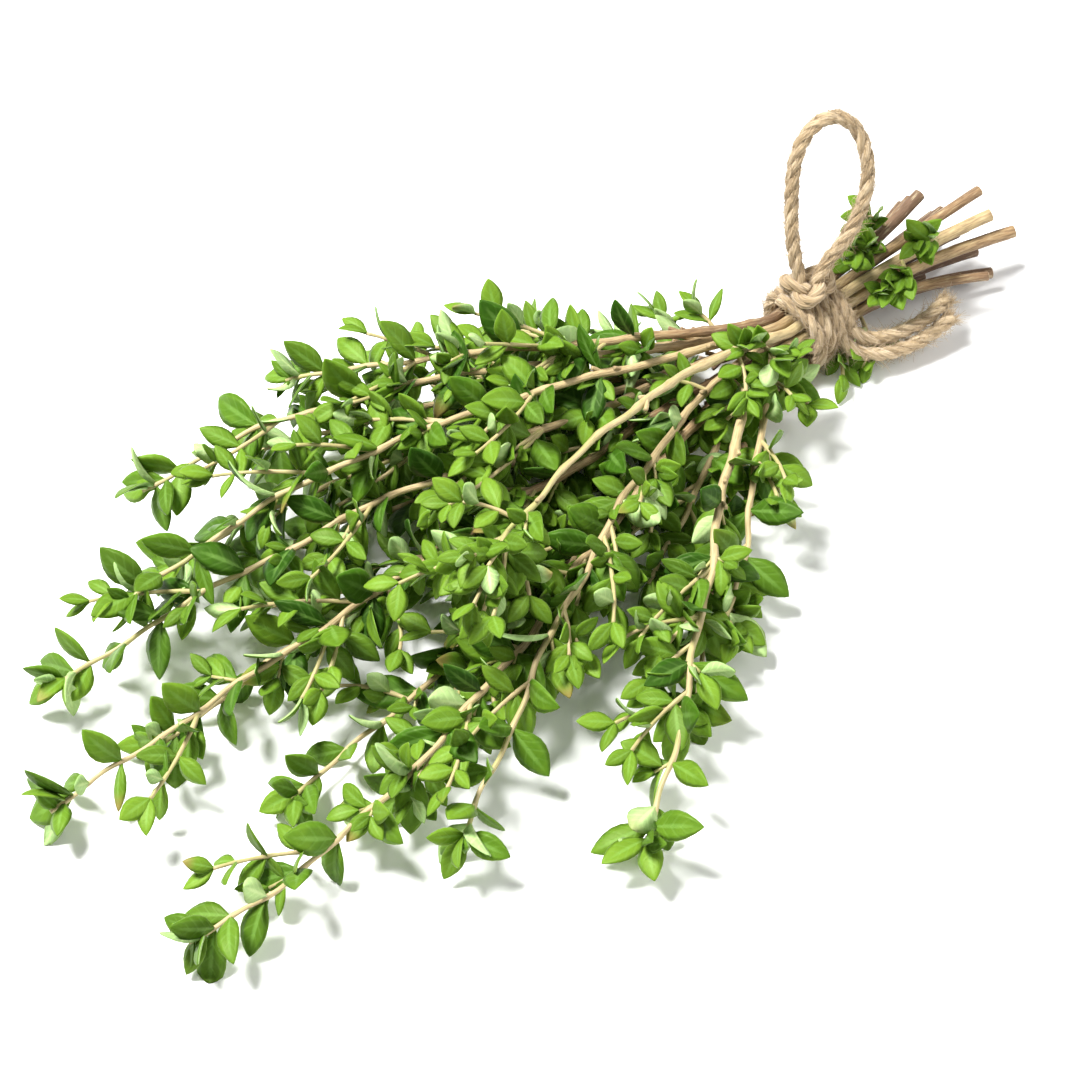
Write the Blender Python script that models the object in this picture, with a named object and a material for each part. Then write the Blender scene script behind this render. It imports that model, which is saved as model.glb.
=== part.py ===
"""A bundle of fresh thyme lying on a table, tied near its cut ends with jute twine.

Nineteen cut sprigs are packed side by side under the tie and fan out from it. Each sprig is one
closed body: a woody stem, its side shoots and its paired leaves. The twine is two wraps, a small
knot on top of them, an open loop and two loose tails. Metres, +Z up, resting on z = 0. +X runs
along the bundle to the cut ends, and the leafy tips point to -X.
"""

import math
import random
from collections import namedtuple

import bmesh
import bpy
import numpy as np
from mathutils import Matrix, Vector
from mathutils.bvhtree import BVHTree

MM = 0.001
GAP = 0.3 * MM  # clear space between neighbouring pieces

# Stems
STEM_RADIUS = 0.85 * MM
TIP_RADIUS = 0.45 * MM
SHOOT_RADIUS = 0.45 * MM
STEM_PITCH = 2 * STEM_RADIUS + GAP
LEVEL_HEIGHT = STEM_PITCH * math.sqrt(3) / 2  # rows of stems nest in each other under the tie
OUTER_LEVEL = 2
STRAIGHT_HALF = 6 * MM  # the stems run straight this far each side of the tie
CUT_SPREAD = 2.7  # how much further apart the stems are sideways at their cut ends
CUT_RISE = 2.1  # and up and down
CUT_SWAY = -0.10  # sideways drift of the cut ends for each metre past the tie
LOWEST_STEM = 1.3 * MM
STIFF_SHARE = 0.32  # of the reach, that a stem keeps its first direction
STIFF_LOSS = 0.0045  # and how much less of it for each degree of heading
END_SHARE = 0.36  # of the reach, that the tip's direction tells
CUT_STIFF_SHARE = 0.45
STEM_STEP = 15 * MM  # straight facets along a stem
MIN_STEM_STEPS = 6
CUT_STEPS = 3

# Leaves
LEAF_LENGTH = 8.6 * MM
LEAF_WIDTH = 5.0 * MM
LEAF_THICKNESS = 0.6 * MM
LEAF_TAPER = 0.2  # moves the widest place towards the foot
LEAF_SPACING = 17 * MM  # between pairs along a stem
LEAF_ANGLE = math.radians(62)  # between a leaf and its stem
TIP_LEAF_ANGLE = math.radians(32)
LEAF_FACING = 0.8  # how far a leaf looks along its stem, against 1 for upwards
LEAF_FOOT = 0.15 * MM  # a leaf starts this far from its stem's centre line
ROLLS = [math.radians(a) for a in (0, 25, -25, 50, -50, 75, -75)]  # turns tried to fit a leaf in
LEAF_SCALES = (1.0, 0.75)
LEAST_HEIGHT = 0.05 * MM  # of any leaf's lowest point
TIP_UP_STEP = math.radians(6)
TIP_UP_TRIES = 12
SHOOT_LIFTS = [math.radians(a) for a in (12, 30, -8, 50, 70)]
SHOOT_ANGLE = math.radians(38)
SHOOT_STEPS = 4
SHOOT_KNEE = 0.55  # share of a shoot before it bends along with its stem
SHOOT_BEND = 0.8
LAST_PAIR = 0.96  # share of the path where the last pair below the tip stands
TIP_SHARE = 0.985
SHOOT_PAIR = 0.6
ROLL_VARIES = 0.3  # radians
LEAN_VARIES = 0.15

# Twine
TWINE_RADIUS = 1.1 * MM
WRAP_PITCH = 2.3 * MM
WRAP_TURNS = 2
WRAP_STEPS = 16  # straight facets in a turn
TAIL_ON_STEMS = 0.27  # of a turn
WRAP_START = math.radians(-25)  # the wraps start and end behind the top, under the knot
WRAP_X = -3.45 * MM
WRAP_RADIUS = OUTER_LEVEL * STEM_PITCH + STEM_RADIUS + GAP + TWINE_RADIUS
KNOT_HALF_LENGTH = 3.9 * MM
KNOT_HALF_WIDTH = 2.55 * MM
KNOT_RADIUS = WRAP_RADIUS + 2 * TWINE_RADIUS + 0.15 * MM  # from the tie's axis
LOOP_FOOT = 1.25 * MM
LOOP_NECK = 2.0 * MM  # the loop's feet stand straight up this far, through the knot
LOOP_SIDEWAYS = Vector((0.731, -0.682, 0.0))  # the loop stands in the plane of these two
LOOP_UPWARDS = Vector((0.341, 0.366, 0.866))

# The tie's centre, with the wraps resting on the table
TIE = Vector((0.0559, 0.0066, WRAP_RADIUS + TWINE_RADIUS + 0.05 * MM))

# level and place say where a stem lies under the tie: level 2 is on top, place counts sideways.
# cut, reach, rise, lift and tip are in millimetres: how far the cut end stands past the tie, how
# far the tip is from it, how much the path rises as it leaves the tie and before it comes down,
# and how high the tip ends. The headings are in degrees from -X, towards +Y: where the tip lies,
# and the way it points. bare is the leafless share of the path. shoots are (share of the path,
# side, length in millimetres), and stubs are leaves past the tie, (millimetres, roll in degrees).
Sprig = namedtuple(
    "Sprig", "level place cut heading tip_heading reach rise lift tip bare shoots stubs"
)
SPRIGS = [
    Sprig(2, 1, 30, 27, 36, 86, 7, 5, 19, 0.32, [(0.45, 1, 16), (0.75, -1, 15)], [(15, 80)]),
    Sprig(2, 0, 38, 12, 2, 122, 12, 13, 12, 0.30, [(0.40, -1, 18), (0.70, 1, 17)], [(17, 90)]),
    Sprig(2, -1, 35, -8, -10, 84, 10, 9, 22, 0.74, [(0.82, -1, 15), (0.93, 1, 14)], [(19, 20)]),
    Sprig(1, 1.5, 31, 21, 13, 112, 7, 12, 14, 0.22, [(0.50, 1, 17), (0.78, -1, 16)], [(20, 95)]),
    Sprig(1, 0.5, 41, 10, 7, 137, 8, 10, 7, 0.28, [(0.35, -1, 24), (0.58, -1, 18), (0.80, 1, 17)], []),
    Sprig(1, -0.5, 33, -19, -26, 116, 8, 12, 6, 0.24, [(0.50, -1, 18), (0.75, 1, 15)], []),
    Sprig(1, -1.5, 38, -31.5, -28, 106, 5, 10, 5, 0.40, [(0.52, 1, 18), (0.74, 1, 14)], [(16, -20)]),
    Sprig(0, 2, 32, 31, 26, 57, 3, 4, 5, 0.25, [(0.55, 1, 14)], [(18, 60)]),
    Sprig(0, 1, 36, 16, 10, 112, 5, 9, 6, 0.20, [(0.40, 1, 18), (0.60, -1, 17)], []),
    Sprig(0, 0, 34, 3, 6, 148, 5, 8, 5, 0.20, [(0.37, -1, 26), (0.61, 1, 18), (0.82, -1, 17)], []),
    Sprig(0, -1, 40, -9, 12, 149, 5, 7, 5, 0.22, [(0.35, 1, 26), (0.62, -1, 17), (0.84, 1, 16)], []),
    Sprig(0, -2, 30, -33, -28, 66, 3, 6, 6, 0.12, [(0.45, -1, 9), (0.72, 1, 13)], [(17, -30)]),
    Sprig(-1, 1.5, 37, 27, 22, 92, 0, 4, 4, 0.16, [(0.35, -1, 18), (0.60, 1, 16)], []),
    Sprig(-1, 0.5, 30, 3, -2, 130, 0, 3, 4, 0.18, [(0.40, -1, 24), (0.65, 1, 17)], []),
    Sprig(-1, -0.5, 36, -13, -20, 112, 1, 4, 4, 0.28, [(0.40, -1, 20), (0.62, -1, 16)], []),
    Sprig(-1, -1.5, 34, -20, -22, 58, 0, 4, 3.5, 0.32, [(0.66, 1, 15)], []),
    Sprig(-2, 1, 35, 15, 14, 100, -2, 0, 3, 0.20, [(0.40, -1, 20), (0.66, 1, 16)], []),
    Sprig(-2, 0, 27, -6, -2, 122, -2, 0, 3, 0.20, [(0.40, 1, 24), (0.64, -1, 17)], []),
    Sprig(-2, -1, 33, -31, -28, 80, -2, 0, 3, 0.32, [(0.60, -1, 13)], [(13, -70)]),
]

# The loop's route up from its neck, (sideways, upwards) in its own plane, in millimetres
LOOP_ROUTE = [
    (-2.2, 3.6), (-2.9, 8.3), (-3.1, 15.0), (-2.6, 20.0), (-1.0, 24.0), (1.7, 26.4), (4.5, 26.6),
    (7.0, 24.6), (8.6, 20.5), (8.9, 16.8), (8.3, 12.9), (7.1, 9.7), (5.2, 6.3), (3.2, 3.6),
]
# The tails' routes from where they leave the wraps, from the point of the table under the tie,
# in millimetres. Above the first point each tail is one more turn of the wraps.
TAIL_A_ROUTE = [
    (1.8, -6.9, 7.3), (3.2, -9.2, 5.3), (7.0, -11.7, 4.2), (10.7, -13.0, 4.0), (14.4, -13.9, 4.3),
    (17.7, -14.3, 5.0), (19.9, -14.4, 5.7),
]
TAIL_B_ROUTE = [
    (4.1, -6.9, 7.8), (5.4, -8.4, 6.5), (8.1, -9.9, 5.8), (11.3, -11.0, 5.6), (14.6, -11.7, 5.7),
    (17.6, -12.1, 6.2), (21.0, -12.2, 7.5),
]

GREENS = [(0.10, 0.24, 0.035), (0.13, 0.28, 0.045), (0.08, 0.20, 0.04)]
JUTE = (0.55, 0.40, 0.24)


def clear_scene():
    for obj in list(bpy.data.objects):
        bpy.data.objects.remove(obj, do_unlink=True)


def new_collection(name, parent, hidden=False):
    collection = bpy.data.collections.new(name)
    collection.hide_render = hidden
    parent.children.link(collection)
    return collection


def new_material(name, colour, roughness):
    material = bpy.data.materials.new(name)
    material.use_nodes = True
    shader = material.node_tree.nodes["Principled BSDF"]
    shader.inputs["Base Color"].default_value = (*colour, 1.0)
    shader.inputs["Roughness"].default_value = roughness
    shader.inputs["Metallic"].default_value = 0.0
    return material


def new_object(name, mesh, collection, guide=False):
    obj = bpy.data.objects.new(name, mesh)
    collection.objects.link(obj)
    if guide:
        obj.hide_render = True
        obj.display_type = "WIRE"
    return obj


def tube_mesh(name, points, radii, resolution, closed=False):
    """A bevelled poly curve turned into a mesh, with its end caps welded on."""
    curve = bpy.data.curves.new(name, "CURVE")
    curve.dimensions = "3D"
    curve.bevel_depth = max(radii)
    curve.bevel_resolution = resolution
    curve.use_fill_caps = not closed
    spline = curve.splines.new("POLY")
    spline.points.add(len(points) - 1)
    for spot, point, radius in zip(spline.points, points, radii):
        spot.co = (*point, 1.0)
        spot.radius = radius / max(radii)
    spline.use_cyclic_u = closed
    holder = bpy.data.objects.new(name, curve)
    bpy.context.scene.collection.objects.link(holder)
    graph = bpy.context.evaluated_depsgraph_get()
    mesh = bpy.data.meshes.new_from_object(holder.evaluated_get(graph))
    bpy.data.objects.remove(holder, do_unlink=True)
    bpy.data.curves.remove(curve)
    shape = bmesh.new()
    shape.from_mesh(mesh)
    bmesh.ops.remove_doubles(shape, verts=shape.verts, dist=0.001 * MM)
    bmesh.ops.recalc_face_normals(shape, faces=shape.faces)
    shape.to_mesh(mesh)
    shape.free()
    mesh.name = name
    mesh.shade_smooth()
    mesh.set_sharp_from_angle(angle=math.radians(60))
    return mesh


def leaf_mesh():
    """A small lens along +X, widest nearer its foot, which is at the origin."""
    shape = bmesh.new()
    bmesh.ops.create_uvsphere(shape, u_segments=6, v_segments=2, radius=0.5)
    point_first = Matrix.Rotation(math.radians(30), 3, "Z")
    bmesh.ops.rotate(shape, cent=(0, 0, 0), matrix=point_first, verts=shape.verts)
    for vert in shape.verts:
        along = vert.co.x + 0.5
        vert.co.x = LEAF_LENGTH * along * (1 - LEAF_TAPER + LEAF_TAPER * along)
        vert.co.y *= LEAF_WIDTH / math.cos(math.radians(30))
        vert.co.z *= LEAF_THICKNESS
    mesh = bpy.data.meshes.new("leaf")
    shape.to_mesh(mesh)
    shape.free()
    return mesh


def curve_points(corners, steps):
    """Points at even steps along a Bezier curve of any degree over its corners."""
    found = []
    for step in range(steps + 1):
        points = corners
        while len(points) > 1:
            points = [a.lerp(b, step / steps) for a, b in zip(points, points[1:])]
        found.append(points[0])
    return found


def spot_on(points, share):
    """The point at this share of a path's steps, and the direction there."""
    place = share * (len(points) - 1)
    step = min(int(place), len(points) - 2)
    start, end = points[step], points[step + 1]
    return start.lerp(end, place - step), (end - start).normalized()


def compass(degrees):
    """The level direction of a heading, from -X towards +Y."""
    angle = math.radians(degrees)
    return Vector((-math.cos(angle), math.sin(angle), 0.0))


def sprig_paths(sprig):
    """Points of the leafy path, from the tie to the tip, and of the path to the cut end."""
    side = sprig.place * STEM_PITCH
    up = sprig.level * LEVEL_HEIGHT
    ground = Vector((TIE.x, TIE.y, 0.0))
    reach = sprig.reach * MM
    start = TIE + Vector((-STRAIGHT_HALF, side, up))
    tip = ground + compass(sprig.heading) * reach + Vector((0, 0, sprig.tip * MM))
    stiff = (STIFF_SHARE - STIFF_LOSS * abs(sprig.heading)) * reach
    rise = start + Vector((-stiff, 0, sprig.rise * MM))
    lift = tip - compass(sprig.tip_heading) * END_SHARE * reach + Vector((0, 0, sprig.lift * MM))
    root = TIE + Vector((STRAIGHT_HALF, side, up))
    past = sprig.cut * MM - STRAIGHT_HALF
    cut_height = max(TIE.z + up * CUT_RISE, LOWEST_STEM)
    cut = Vector((TIE.x + sprig.cut * MM, TIE.y + side * CUT_SPREAD + CUT_SWAY * past, cut_height))
    steps = max(MIN_STEM_STEPS, round(reach / STEM_STEP))
    leafy = curve_points([start, rise, lift, tip], steps)
    return leafy, curve_points([root, root + Vector((CUT_STIFF_SHARE * past, 0, 0)), cut], CUT_STEPS)


def stem_mesh(name, leafy, cut):
    """The main stem in one tube, from the cut end through the tie to the tip."""
    taper = np.linspace(STEM_RADIUS, TIP_RADIUS, len(leafy)).tolist()
    return tube_mesh(name, cut[::-1] + leafy, [STEM_RADIUS] * len(cut) + taper, 1)


def tree_of(mesh, matrix=None, grow=0.0):
    """A search tree of the mesh in its place, optionally grown to leave a gap round it."""
    matrix = matrix or Matrix.Identity(4)
    verts = [vert.co.copy() for vert in mesh.vertices]
    if grow:
        middle = sum(verts, Vector()) / len(verts)
        verts = [vert + (vert - middle).normalized() * grow for vert in verts]
    faces = [tuple(face.vertices) for face in mesh.polygons]
    return BVHTree.FromPolygons([matrix @ vert for vert in verts], faces)


def is_free(tree, owner, taken):
    return all(name == owner or not tree.overlap(other) for name, other in taken)


def frame_at(point, along, roll, angle):
    """A matrix whose X leans out from the stem by angle, on the side that roll turns it to.

    Its Z, the leaf's upper face, looks towards the stem's tip and up.
    """
    level = Vector((0, 0, 1)).cross(along).normalized()
    upward = along.cross(level)
    outward = level * math.cos(roll) + upward * math.sin(roll)
    axis = (along * math.cos(angle) + outward * math.sin(angle)).normalized()
    across = (along * LEAF_FACING + Vector((0, 0, 1))).cross(axis).normalized()
    turn = Matrix((axis, across, axis.cross(across))).transposed().to_4x4()
    return Matrix.Translation(point + outward * LEAF_FOOT) @ turn


def rest_on_table(matrix, mesh):
    """The same place, tipped up until no point is under the table."""
    for _ in range(TIP_UP_TRIES):
        lowest = min((matrix @ vert.co).z for vert in mesh.vertices)
        if lowest >= LEAST_HEIGHT:
            return matrix
        foot = matrix.to_translation()
        tip_up = Matrix.Rotation(-TIP_UP_STEP, 4, matrix.col[1].to_3d())
        matrix = Matrix.Translation(foot) @ tip_up @ Matrix.Translation(-foot) @ matrix
    return None


class Builder:
    """Places the leaves one by one, each clear of every other sprig and of the twine."""

    def __init__(self, parts, guides):
        self.parts = parts
        self.guides = guides
        self.leaf = leaf_mesh()
        self.taken = []
        self.dice = random.Random(7)

    def claim(self, owner, mesh, matrix=None):
        self.taken.append((owner, tree_of(mesh, matrix)))

    def add_leaf(self, owner, group, point, along, roll, angle):
        for scale in LEAF_SCALES:
            for turn in ROLLS:
                matrix = frame_at(point, along, roll + turn, angle) @ Matrix.Scale(scale, 4)
                matrix = rest_on_table(matrix, self.leaf)
                if matrix is None:
                    continue
                if is_free(tree_of(self.leaf, matrix, GAP), owner, self.taken):
                    obj = new_object(f"{owner}_leaf", self.leaf, group, guide=True)
                    obj.matrix_world = matrix
                    self.claim(owner, self.leaf, matrix)
                    return

    def add_pair(self, owner, group, point, along, roll, angle=LEAF_ANGLE):
        for half_turn in (0.0, math.pi):
            lean = angle + self.dice.uniform(-LEAN_VARIES, LEAN_VARIES)
            self.add_leaf(owner, group, point, along, roll + half_turn, lean)

    def add_shoot(self, owner, group, leafy, share, side, length_mm):
        """A thin side shoot that leaves the stem and bends along with it; its points, if it fits."""
        length = length_mm * MM
        point, along = spot_on(leafy, share)
        level = Vector((0, 0, 1)).cross(along).normalized() * -side
        for lift in SHOOT_LIFTS:
            out = level * math.cos(lift) + along.cross(level) * -side * math.sin(lift)
            heading = along * math.cos(SHOOT_ANGLE) + out * math.sin(SHOOT_ANGLE)
            knee = point + heading * length * SHOOT_KNEE
            bent = (heading + along * SHOOT_BEND).normalized()
            tip = knee + bent * length * (1 - SHOOT_KNEE)
            points = curve_points([point, knee, tip], SHOOT_STEPS)
            if min(spot.z for spot in points) < LOWEST_STEM:
                continue
            wide = tube_mesh(f"{owner}_room", points, [SHOOT_RADIUS + GAP] * len(points), 0)
            free = is_free(tree_of(wide), owner, self.taken)
            bpy.data.meshes.remove(wide)
            if free:
                mesh = tube_mesh(f"{owner}_shoot", points, [SHOOT_RADIUS] * len(points), 0)
                new_object(f"{owner}_shoot", mesh, group, guide=True)
                self.claim(owner, mesh)
                return points
        return None


def build_sprigs(builder):
    """All stems first, then all shoots, then the leaves, so that each fits round what is there."""
    plants = []
    for number, sprig in enumerate(SPRIGS, start=1):
        name = f"sprig_{number:02d}"
        leafy, cut = sprig_paths(sprig)
        mesh = stem_mesh(name, leafy, cut)
        mesh.materials.append(new_material(name, GREENS[number % len(GREENS)], 0.55))
        stem = new_object(name, mesh, builder.parts)
        builder.claim(name, mesh)
        group = new_collection(f"{name}_pieces", builder.guides, hidden=True)
        plants.append((name, sprig, stem, group, leafy, cut))
    shoots = {}
    for name, sprig, _, group, leafy, _ in plants:
        tried = [builder.add_shoot(name, group, leafy, *shoot) for shoot in sprig.shoots]
        shoots[name] = [points for points in tried if points]
    for name, sprig, stem, group, leafy, cut in plants:
        add_leaves(builder, name, group, sprig, leafy, cut, shoots[name])
        union = stem.modifiers.new("leaves and shoots", "BOOLEAN")
        union.operation = "UNION"
        union.solver = "EXACT"
        union.operand_type = "COLLECTION"
        union.collection = group


def add_leaves(builder, name, group, sprig, leafy, cut, shoots):
    """Pairs along the stem, each turned a quarter from the one before, then the other leaves."""
    leafy_share = LAST_PAIR - sprig.bare
    pairs = max(2, round(leafy_share * sprig.reach * MM / LEAF_SPACING))
    for pair in range(pairs + 1):
        point, along = spot_on(leafy, sprig.bare + leafy_share * pair / pairs)
        roll = pair % 2 * math.pi / 2 + builder.dice.uniform(-ROLL_VARIES, ROLL_VARIES)
        builder.add_pair(name, group, point, along, roll)
    tip, along = spot_on(leafy, TIP_SHARE)
    builder.add_pair(name, group, tip, along, (pairs + 1) % 2 * math.pi / 2, TIP_LEAF_ANGLE)
    for points in shoots:
        middle, along = spot_on(points, SHOOT_PAIR)
        roll = builder.dice.uniform(-ROLL_VARIES, ROLL_VARIES)
        builder.add_pair(name, group, middle, along, roll)
        end, along = spot_on(points, TIP_SHARE)
        builder.add_pair(name, group, end, along, math.pi / 2, TIP_LEAF_ANGLE)
    for past, roll in sprig.stubs:
        share = (past * MM - STRAIGHT_HALF) / (sprig.cut * MM - STRAIGHT_HALF)
        point, along = spot_on(cut, share)
        builder.add_leaf(name, group, point, along, math.radians(roll), LEAF_ANGLE)


def smooth_route(points, step):
    """Points about step apart on a curve that passes smoothly through the given ones."""
    ends = [points[0] * 2 - points[1], *points, points[-1] * 2 - points[-2]]
    found = []
    for before, start, end, after in zip(ends, ends[1:], ends[2:], ends[3:]):
        count = max(1, round((end - start).length / step))
        for t in (i / count for i in range(count)):
            pull = (end - before) * t + (2 * before - 5 * start + 4 * end - after) * t**2
            found.append(start + 0.5 * (pull + (3 * start - before - 3 * end + after) * t**3))
    return found + [points[-1]]


def round_tie(x, angle, radius):
    """A point round the tie's axis: angle 0 is on top, and it grows towards -Y."""
    return TIE + Vector((x, -radius * math.sin(angle), radius * math.cos(angle)))


def wrap_point(turn):
    """The wraps' centre line after this many turns. The tails run on beside it."""
    return round_tie(WRAP_X + WRAP_PITCH * turn, WRAP_START + 2 * math.pi * turn, WRAP_RADIUS)


def tail_points(route, turn):
    """A tail starts after this many turns, runs on for a quarter turn, then follows its route."""
    ground = Vector((TIE.x, TIE.y, 0.0))
    on_stems = [wrap_point(turn + TAIL_ON_STEMS * i / 4) for i in range(5)]
    return on_stems + [ground + Vector(point) * MM for point in route]


def twine_piece(name, points, builder, closed=False):
    mesh = tube_mesh(name, points, [TWINE_RADIUS] * len(points), 2, closed)
    mesh.materials.append(new_material(name, JUTE, 0.9))
    builder.claim(name, mesh)
    return new_object(name, mesh, builder.parts)


def build_twine(builder):
    wraps = [wrap_point(step / WRAP_STEPS) for step in range(WRAP_STEPS * WRAP_TURNS + 1)]
    twine_piece("twine_wraps", wraps, builder)

    knot = []
    for step in range(WRAP_STEPS):
        angle = 2 * math.pi * step / WRAP_STEPS
        spot = LOOP_SIDEWAYS * KNOT_HALF_LENGTH * math.cos(angle)
        spot += Vector((0, 0, 1)).cross(LOOP_SIDEWAYS) * KNOT_HALF_WIDTH * math.sin(angle)
        knot.append(TIE + spot + Vector((0, 0, math.sqrt(KNOT_RADIUS**2 - spot.y**2))))
    twine_piece("twine_knot", knot, builder, closed=True)

    base = TIE + Vector((0, 0, WRAP_RADIUS + TWINE_RADIUS + GAP / 2))
    neck = base + Vector((0, 0, LOOP_NECK))
    foot = LOOP_SIDEWAYS * LOOP_FOOT
    arch = [neck + (LOOP_SIDEWAYS * a + LOOP_UPWARDS * b) * MM for a, b in LOOP_ROUTE]
    route = [base - foot, neck - foot, *arch, neck + foot, base + foot]
    loop = smooth_route(route, 1.6 * TWINE_RADIUS)
    twine_piece("twine_loop", loop, builder)

    start = WRAP_TURNS + 3 * GAP / (2 * math.pi * WRAP_RADIUS)
    tail_a = tail_points(TAIL_A_ROUTE, start)
    tail_b = tail_points(TAIL_B_ROUTE, start + 1)
    twine_piece("twine_tail_a", smooth_route(tail_a, 1.8 * TWINE_RADIUS), builder)
    twine_piece("twine_tail_b", smooth_route(tail_b, 1.8 * TWINE_RADIUS), builder)


def main():
    clear_scene()
    parts = new_collection("thyme_bundle", bpy.context.scene.collection)
    guides = new_collection("sprig_pieces", bpy.context.scene.collection, hidden=True)
    builder = Builder(parts, guides)
    build_twine(builder)
    build_sprigs(builder)


main()
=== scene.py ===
import math

import bpy
import numpy as np
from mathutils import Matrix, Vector


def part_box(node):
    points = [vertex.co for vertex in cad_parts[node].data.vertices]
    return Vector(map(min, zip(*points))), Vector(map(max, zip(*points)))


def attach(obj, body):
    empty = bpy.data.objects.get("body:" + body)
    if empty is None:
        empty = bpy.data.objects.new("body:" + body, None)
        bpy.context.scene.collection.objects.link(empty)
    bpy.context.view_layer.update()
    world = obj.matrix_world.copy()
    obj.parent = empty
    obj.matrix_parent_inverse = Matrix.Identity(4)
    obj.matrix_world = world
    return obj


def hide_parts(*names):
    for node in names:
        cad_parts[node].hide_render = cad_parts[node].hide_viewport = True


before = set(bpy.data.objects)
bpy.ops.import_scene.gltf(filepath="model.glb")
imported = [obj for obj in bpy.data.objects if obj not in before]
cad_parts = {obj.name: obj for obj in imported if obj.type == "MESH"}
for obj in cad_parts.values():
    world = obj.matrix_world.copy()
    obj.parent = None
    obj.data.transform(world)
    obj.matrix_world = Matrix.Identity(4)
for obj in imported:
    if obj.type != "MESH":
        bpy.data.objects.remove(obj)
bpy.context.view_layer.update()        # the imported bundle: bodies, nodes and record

mm = 0.001
scene = bpy.context.scene
zUp = np.array([0.0, 0.0, 1.0])
dice = np.random.default_rng(23)

# the middle of the tie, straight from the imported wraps; they start 1.15 mm off its middle
tieLow, tieHigh = (np.array(corner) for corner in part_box("twine_wraps"))
tie = (tieLow + tieHigh) / 2 + np.array([1.15 * mm, 0, 0])
ground = tie * np.array([1, 1, 0])

view = {
    "azimuth": -43,
    "elevation": 50,
    "distance": 0.46,
    "lens": 100,
    "fromTie": (-0.0631, -0.0044, 0.0),   # what it looks at, from the middle of the tie
}


def makeCamera():
    side, up = math.radians(view["azimuth"]), math.radians(view["elevation"])
    back = Vector((math.sin(side) * math.cos(up), -math.cos(side) * math.cos(up), math.sin(up)))
    camera = bpy.data.objects.new("camera", bpy.data.cameras.new("camera"))
    camera.data.lens = view["lens"]
    camera.data.sensor_width = 36
    camera.data.clip_start = 0.01
    camera.location = Vector((tie + view["fromTie"]).tolist()) + back * view["distance"]
    camera.rotation_euler = (-back).to_track_quat("-Z", "Y").to_euler()
    scene.collection.objects.link(camera)
    scene.camera = camera


studio = {
    "floorSize": 20.0,
    "floorColour": (0.93, 0.93, 0.92, 1),
    "skyStrength": 0.24,
    # name: (place, size, power)
    "lamps": {
        "keyLamp": ((-0.22, 0.30, 0.75), 0.28, 19.0),
        "fillLamp": ((0.45, -0.55, 0.50), 0.8, 5.0),
    },
}


def makeStudio():
    half = studio["floorSize"] / 2
    mesh = bpy.data.meshes.new("floor")
    corners = [(-half, -half, 0), (half, -half, 0), (half, half, 0), (-half, half, 0)]
    mesh.from_pydata(corners, [], [(0, 1, 2, 3)])
    paper = bpy.data.materials.new("floorPaper")
    paper.use_nodes = True
    shader = paper.node_tree.nodes["Principled BSDF"]
    shader.inputs["Base Color"].default_value = studio["floorColour"]
    shader.inputs["Roughness"].default_value = 0.9
    mesh.materials.append(paper)
    floor = bpy.data.objects.new("floor", mesh)
    scene.collection.objects.link(floor)
    for name, (place, size, power) in studio["lamps"].items():
        lamp = bpy.data.lights.new(name, "AREA")
        lamp.shape = "DISK"
        lamp.size = size
        lamp.energy = power
        holder = bpy.data.objects.new(name, lamp)
        holder.location = place
        holder.rotation_euler = (-Vector(place)).to_track_quat("-Z", "Y").to_euler()
        scene.collection.objects.link(holder)
    world = bpy.data.worlds.new("studio")
    world.use_nodes = True
    sky = world.node_tree.nodes["Background"].inputs
    sky["Color"].default_value = (1, 1, 1, 1)
    sky["Strength"].default_value = studio["skyStrength"]
    scene.world = world
    scene.view_settings.view_transform = "Standard"


makeCamera()
makeStudio()
print("camera, floor and lamps are in place")


def unit(vectors):
    return vectors / np.maximum(np.linalg.norm(vectors, axis=-1, keepdims=True), 1e-12)


# A Bezier curve of any degree: each corner slides towards the next one until one point is left.
def bezier(corners, count):
    rows = np.repeat(np.array(corners, float)[None], count, 0)
    share = np.linspace(0, 1, count)[:, None, None]
    while rows.shape[1] > 1:
        rows = rows[:, :-1] * (1 - share) + rows[:, 1:] * share
    return rows[:, 0]


def lengthAlong(path):
    return np.concatenate([[0], np.cumsum(np.linalg.norm(np.diff(path, axis=0), axis=1))])


# Place and direction at each distance along a path, read straight between its points.
def walk(path, distances):
    run = lengthAlong(path)
    heading = unit(np.gradient(path, axis=0))
    spots, turns = (
        np.stack([np.interp(distances, run, row) for row in grid.T], -1) for grid in (path, heading))
    return spots, unit(turns)


def evenPath(path, step):
    run = lengthAlong(path)[-1]
    return walk(path, np.linspace(0, run, max(2, round(run / step)) + 1))[0]


# A curve through chosen points: between two of them, a cubic whose slope at each is half the
# step from the point before it to the point after it.
def throughPoints(points, step):
    points = np.array(points, float)
    ends = np.vstack([2 * points[0] - points[1], points, 2 * points[-1] - points[-2]])
    place = np.linspace(0, len(points) - 1, 40 * len(points))
    first = np.minimum(place.astype(int), len(points) - 2)
    t = (place - first)[:, None]
    a, b, c, d = (ends[first + offset] for offset in range(4))
    bend = (2 * a - 5 * b + 4 * c - d) * t**2 + (3 * b - a - 3 * c + d) * t**3
    return evenPath(b + 0.5 * ((c - a) * t + bend), step)


def keepAbove(points, height):
    points[..., 2] = np.maximum(points[..., 2], height)


# The two directions square to a heading, the first of them square to reference too.
def squareTo(along, reference):
    sideways = unit(np.cross(np.broadcast_to(reference, along.shape), along))
    return sideways, np.cross(along, sideways)


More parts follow.
